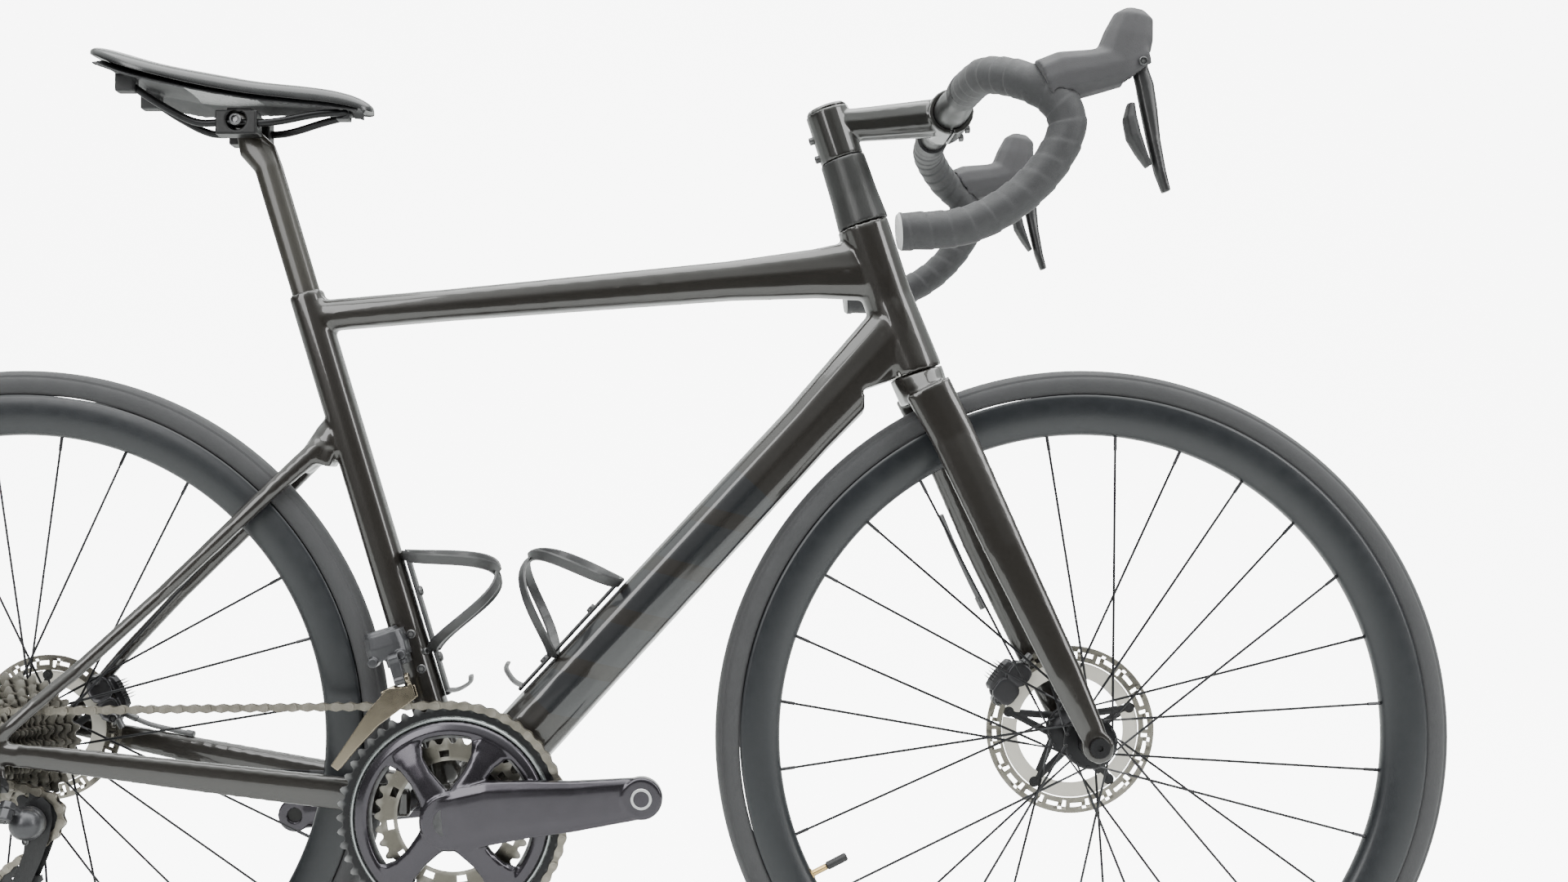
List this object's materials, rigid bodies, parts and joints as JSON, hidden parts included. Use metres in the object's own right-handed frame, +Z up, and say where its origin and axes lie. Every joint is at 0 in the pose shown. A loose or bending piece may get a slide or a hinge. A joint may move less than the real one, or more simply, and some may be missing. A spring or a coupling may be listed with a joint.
{
  "type": "road bicycle",
  "caption": "Dark carbon road bicycle with drop handlebar, disc brakes, slim spoked wheels, padded saddle, two chainrings and two bottle cages, pedals not fitted.",
  "frame": {"origin": "on the ground, midway between the two wheel axles, in the bicycle's middle plane", "axes": "+X forward, +Y to the rider's left, +Z up"},
  "size_m": [1.662, 0.4408, 0.9727],
  "materials": {
    "carbon": "clear-coated carbon composite",
    "rim_carbon": "satin carbon composite",
    "tyre_rubber": "dull",
    "hose": "satin",
    "grip_tape": "grained",
    "saddle_cover": "smooth coated",
    "anodised": "gloss anodised",
    "black_alloy": "satin anodised",
    "steel": "ground and brushed",
    "chain_steel": "plated, lightly worn",
    "polished": "polished",
    "dark_plastic": "fine texture",
    "composite": "satin",
    "spoke_steel": "black coated"
  },
  "bodies": {
    "frame": {"main_frame": "carbon", "rear_triangle": "carbon", "rear_thru_axle": "black_alloy", "bottom_bracket": "black_alloy", "headset_bearing_lower": "steel", "headset_bearing_upper": "steel", "front_derailleur_body": "anodised", "rear_derailleur_knuckle": "dark_plastic", "rear_brake_caliper": "black_alloy", "rear_brake_hose": "hose", "seat_tube_bottle_cage": "composite", "down_tube_bottle_cage": "composite", "chain": "chain_steel"},
    "seatpost": {"seatpost": "carbon"},
    "saddle": {"saddle_clamp": "black_alloy", "saddle_pad": "saddle_cover", "saddle_shell": "dark_plastic", "saddle_rails": "black_alloy"},
    "steering": {"fork": "carbon", "front_thru_axle": "black_alloy", "headset_cover": "carbon", "stem": "carbon", "stem_faceplate": "black_alloy", "stem_top_cap": "black_alloy", "handlebar": "carbon", "bar_tape_right": "grip_tape", "bar_tape_left": "grip_tape", "hood_right": "dark_plastic", "hood_left": "dark_plastic", "front_brake_caliper": "black_alloy", "front_brake_hose": "hose"},
    "brake_lever_right": {"brake_lever_right": "carbon"},
    "brake_lever_left": {"brake_lever_left": "carbon"},
    "shift_paddle_right": {"shift_paddle_right": "dark_plastic"},
    "shift_paddle_left": {"shift_paddle_left": "dark_plastic"},
    "front_wheel": {"front_tyre": "tyre_rubber", "front_rim": "rim_carbon", "front_hub": "black_alloy", "front_spokes_right": "spoke_steel", "front_spokes_left": "spoke_steel", "front_rotor": "steel"},
    "rear_wheel": {"rear_tyre": "tyre_rubber", "rear_rim": "rim_carbon", "rear_hub": "black_alloy", "rear_spokes_right": "spoke_steel", "rear_spokes_left": "spoke_steel", "rear_rotor": "steel"},
    "cassette": {"cassette": "steel"},
    "crank": {"crank_right": "anodised", "crank_left": "anodised", "chainring_large": "black_alloy", "chainring_small": "steel"},
    "front_derailleur_link": {"front_derailleur_link": "anodised"},
    "front_derailleur_cage": {"front_derailleur_cage": "polished"},
    "rear_derailleur_link": {"rear_derailleur_link": "anodised"},
    "rear_derailleur_body": {"rear_derailleur_body": "dark_plastic"},
    "rear_derailleur_cage": {"rear_derailleur_cage": "black_alloy"},
    "guide_pulley": {"guide_pulley": "dark_plastic"},
    "tension_pulley": {"tension_pulley": "dark_plastic"}
  },
  "joints": [
    {"name": "steering_turn", "type": "hinge", "parent": "frame", "child": "steering", "pos_m": [0.33433, 0, 0.67656], "axis": [-0.309, 0, 0.9511], "range_deg": [-60, 60]},
    {"name": "seatpost_height", "type": "slide", "parent": "frame", "child": "seatpost", "axis": [-0.2874, 0, 0.9578], "range_m": [-0.055, 0.03]},
    {"name": "saddle_tilt", "type": "hinge", "parent": "seatpost", "child": "saddle", "pos_m": [-0.28636, 0, 0.90666], "axis": [0, 1, 0], "range_deg": [-5, 5]},
    {"name": "front_wheel_spin", "type": "hinge", "parent": "steering", "child": "front_wheel", "pos_m": [0.491, 0, 0.34], "axis": [0, 1, 0], "continuous": true},
    {"name": "rear_wheel_spin", "type": "hinge", "parent": "frame", "child": "rear_wheel", "pos_m": [-0.491, 0, 0.34], "axis": [0, 1, 0], "continuous": true},
    {"name": "crank_spin", "type": "hinge", "parent": "frame", "child": "crank", "pos_m": [-0.08627, 0, 0.2745], "axis": [0, 1, 0], "continuous": true, "deforming": ["chain"]},
    {"name": "cassette_spin", "type": "hinge", "parent": "frame", "child": "cassette", "pos_m": [-0.491, 0, 0.34], "axis": [0, 1, 0], "continuous": true},
    {"name": "brake_lever_right_pull", "type": "hinge", "parent": "steering", "child": "brake_lever_right", "pos_m": [0.48317, -0.20192, 0.9049], "axis": [0, 1, 0], "range_deg": [0, 24], "stiffness_Nm_per_rad": 1.5, "springref_deg": -17.19},
    {"name": "brake_lever_left_pull", "type": "hinge", "parent": "steering", "child": "brake_lever_left", "pos_m": [0.48317, 0.20192, 0.9049], "axis": [0, 1, 0], "range_deg": [0, 24], "stiffness_Nm_per_rad": 1.5, "springref_deg": -17.19},
    {"name": "shift_paddle_right_press", "type": "hinge", "parent": "brake_lever_right", "child": "shift_paddle_right", "pos_m": [0.47417, -0.20192, 0.8749], "axis": [1, 0, 0], "range_deg": [0, 6], "stiffness_Nm_per_rad": 0.5, "springref_deg": -5.73},
    {"name": "shift_paddle_left_press", "type": "hinge", "parent": "brake_lever_left", "child": "shift_paddle_left", "pos_m": [0.47417, 0.20192, 0.8749], "axis": [-1, 0, 0], "range_deg": [0, 6], "stiffness_Nm_per_rad": 0.5, "springref_deg": -5.73},
    {"name": "front_derailleur_swing", "type": "hinge", "parent": "frame", "child": "front_derailleur_link", "pos_m": [-0.13761, -0.052, 0.41779], "axis": [0.9578, 0, 0.2874], "range_deg": [-2, 20], "deforming": ["chain"]},
    {"name": "front_derailleur_cage_pivot", "type": "hinge", "parent": "front_derailleur_link", "child": "front_derailleur_cage", "pos_m": [-0.13186, -0.052, 0.39863], "axis": [0.9578, 0, 0.2874], "range_deg": [-20, 2], "deforming": ["chain"]},
    {"name": "rear_derailleur_swing", "type": "hinge", "parent": "frame", "child": "rear_derailleur_link", "pos_m": [-0.497, -0.0921, 0.286], "axis": [0, 0.6198, 0.7848], "range_deg": [-20, 45], "deforming": ["chain"]},
    {"name": "rear_derailleur_body_pivot", "type": "hinge", "parent": "rear_derailleur_link", "child": "rear_derailleur_body", "pos_m": [-0.467, -0.0921, 0.286], "axis": [0, 0.6198, 0.7848], "range_deg": [-45, 20], "deforming": ["chain"]},
    {"name": "rear_derailleur_cage_swing", "type": "hinge", "parent": "rear_derailleur_body", "child": "rear_derailleur_cage", "pos_m": [-0.457, -0.0514, 0.276], "axis": [0, 1, 0], "range_deg": [-40, 20], "stiffness_Nm_per_rad": 0.8, "deforming": ["chain"]},
    {"name": "guide_pulley_spin", "type": "hinge", "parent": "rear_derailleur_cage", "child": "guide_pulley", "pos_m": [-0.457, -0.0514, 0.276], "axis": [0, 1, 0], "continuous": true, "deforming": ["chain"]},
    {"name": "tension_pulley_spin", "type": "hinge", "parent": "rear_derailleur_cage", "child": "tension_pulley", "pos_m": [-0.473, -0.0514, 0.21], "axis": [0, 1, 0], "continuous": true, "deforming": ["chain"]}
  ],
  "couplings": [
    {"joint": "cassette_spin", "follows": "crank_spin", "ratio": 3.3333},
    {"joint": "tension_pulley_spin", "follows": "crank_spin", "ratio": 4.5455},
    {"joint": "guide_pulley_spin", "follows": "crank_spin", "ratio": -4.5455},
    {"joint": "front_derailleur_cage_pivot", "follows": "front_derailleur_swing", "ratio": -1},
    {"joint": "rear_derailleur_body_pivot", "follows": "rear_derailleur_swing", "ratio": -1}
  ]
}
